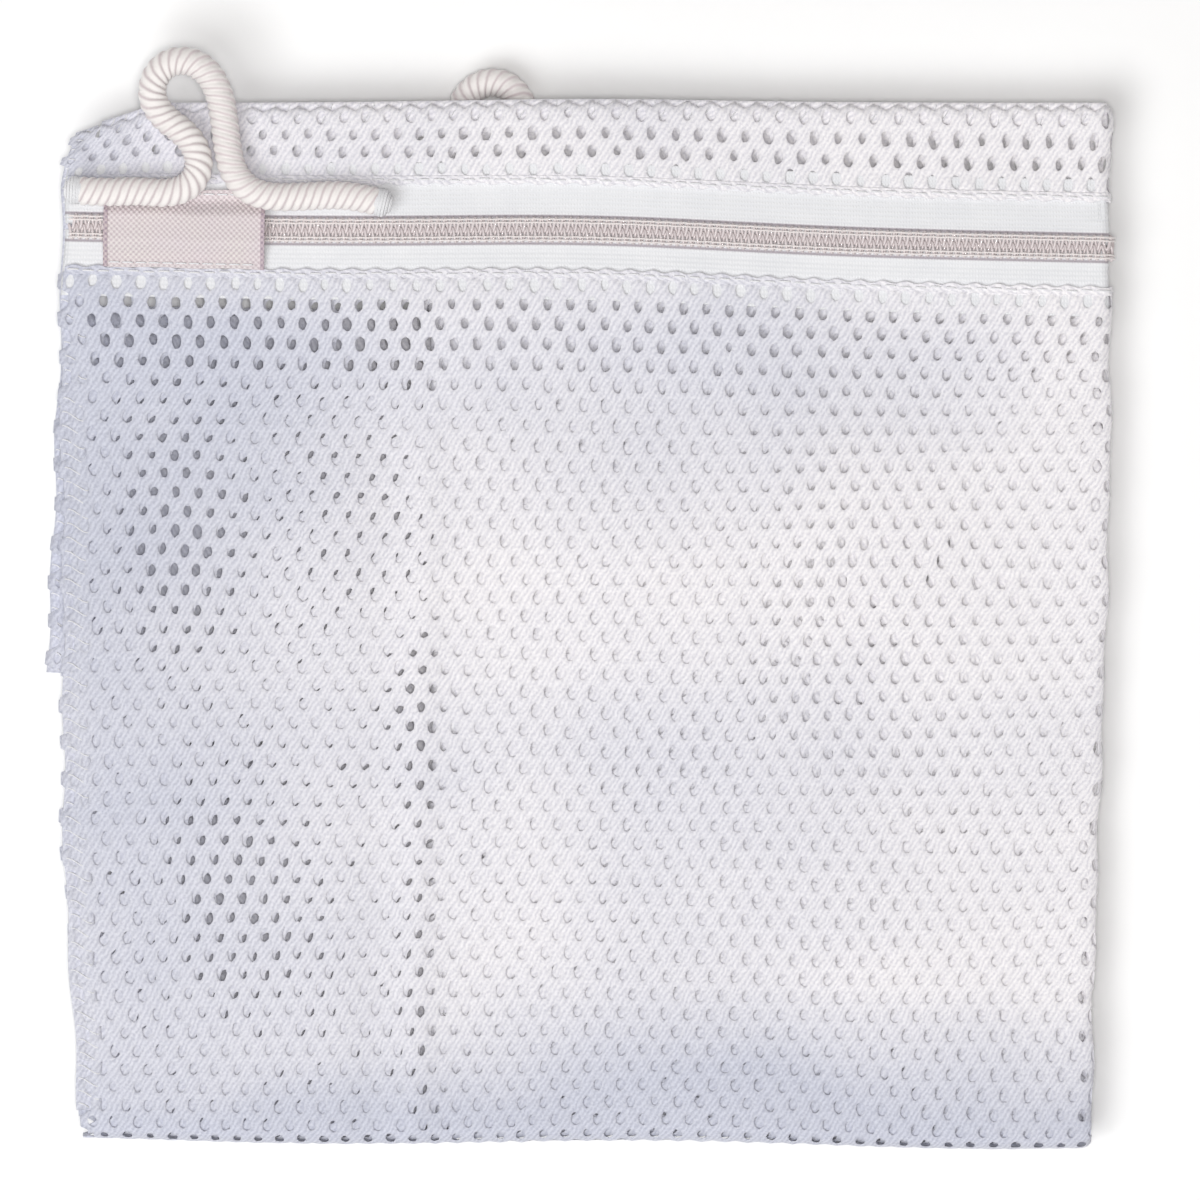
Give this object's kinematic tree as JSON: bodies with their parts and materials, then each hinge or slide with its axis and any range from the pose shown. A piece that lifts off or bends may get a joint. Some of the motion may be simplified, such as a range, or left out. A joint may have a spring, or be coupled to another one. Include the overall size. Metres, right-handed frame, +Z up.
{
  "type": "mesh laundry bag",
  "caption": "Flat mesh laundry bag with a coil zipper, an elastic garage over the slider and cord hanging loops, folded in pleats.",
  "frame": {"origin": "middle of the folded bag's footprint, without its cord loops, on the surface that it lies on", "axes": "+X along the zipper towards the turned edge, +Y towards the top edge, +Z up, away from the surface"},
  "size_m": [0.1849, 0.1904, 0.0184],
  "materials": {
    "mesh": "warp-knitted polyester mesh with hexagonal holes",
    "binding": "overlocked seam allowance",
    "zipper_tape": "fine woven tape",
    "zipper_coil": "nylon coil",
    "thread": "polyester sewing thread",
    "elastic": "woven elastic",
    "cord": "ribbed knitted cord",
    "slider_metal": "enamelled die casting"
  },
  "bodies": {
    "end_section": {"end_front_panel": "mesh", "end_back_panel": "mesh", "end_left_seam": "binding", "end_right_seam": "binding", "bottom_hem": "binding", "inner_fold": "mesh"},
    "middle_section": {"middle_front_panel": "mesh", "middle_back_panel": "mesh", "middle_left_seam": "binding", "middle_right_seam": "binding", "outer_fold": "mesh"},
    "slider": {"slider_body": "slider_metal"},
    "pull_tab": {"pull_tab": "slider_metal"},
    "front_section": {"back_panel": "mesh", "front_left_seam": "binding", "front_loop_bartacks": "thread", "front_panel": "mesh", "front_right_seam": "binding", "garage_stitching": "thread", "hanging_loop_front": "cord", "hanging_loop_rear": "cord", "rear_loop_bartacks": "thread", "seam_stitching_lower": "thread", "seam_stitching_upper": "thread", "slider_garage": "elastic", "top_edge_seam": "binding", "top_strip": "mesh", "zipper_coil_lower": "zipper_coil", "zipper_coil_upper": "zipper_coil", "zipper_tape_lower": "zipper_tape", "zipper_tape_upper": "zipper_tape"}
  },
  "joints": [
    {"name": "middle_fold", "type": "hinge", "parent": "end_section", "child": "middle_section", "pos_m": [-0.08915, 0.0542, 0.00375], "axis": [-0.9997, 0.0256, 0], "range_deg": [0, 180], "deforming": ["inner_fold"]},
    {"name": "front_fold", "type": "hinge", "parent": "middle_section", "child": "front_section", "pos_m": [0, -0.0866, 0.00775], "axis": [1, 0, 0], "range_deg": [0, 180], "deforming": ["outer_fold"]},
    {"name": "slider_travel", "type": "slide", "parent": "front_section", "child": "slider", "axis": [0.9998, -0.0209, 0], "range_m": [0, 0.16], "deforming": ["zipper_coil_upper", "zipper_coil_lower"]},
    {"name": "pull_tab_swing", "type": "hinge", "parent": "slider", "child": "pull_tab", "pos_m": [-0.07548, 0.06868, 0.01345], "axis": [-0.0209, -0.9998, 0], "range_deg": [0, 180], "deforming": ["slider_garage"]}
  ],
  "couplings": [
    {"joint": "front_fold", "follows": "middle_fold", "ratio": 1}
  ]
}
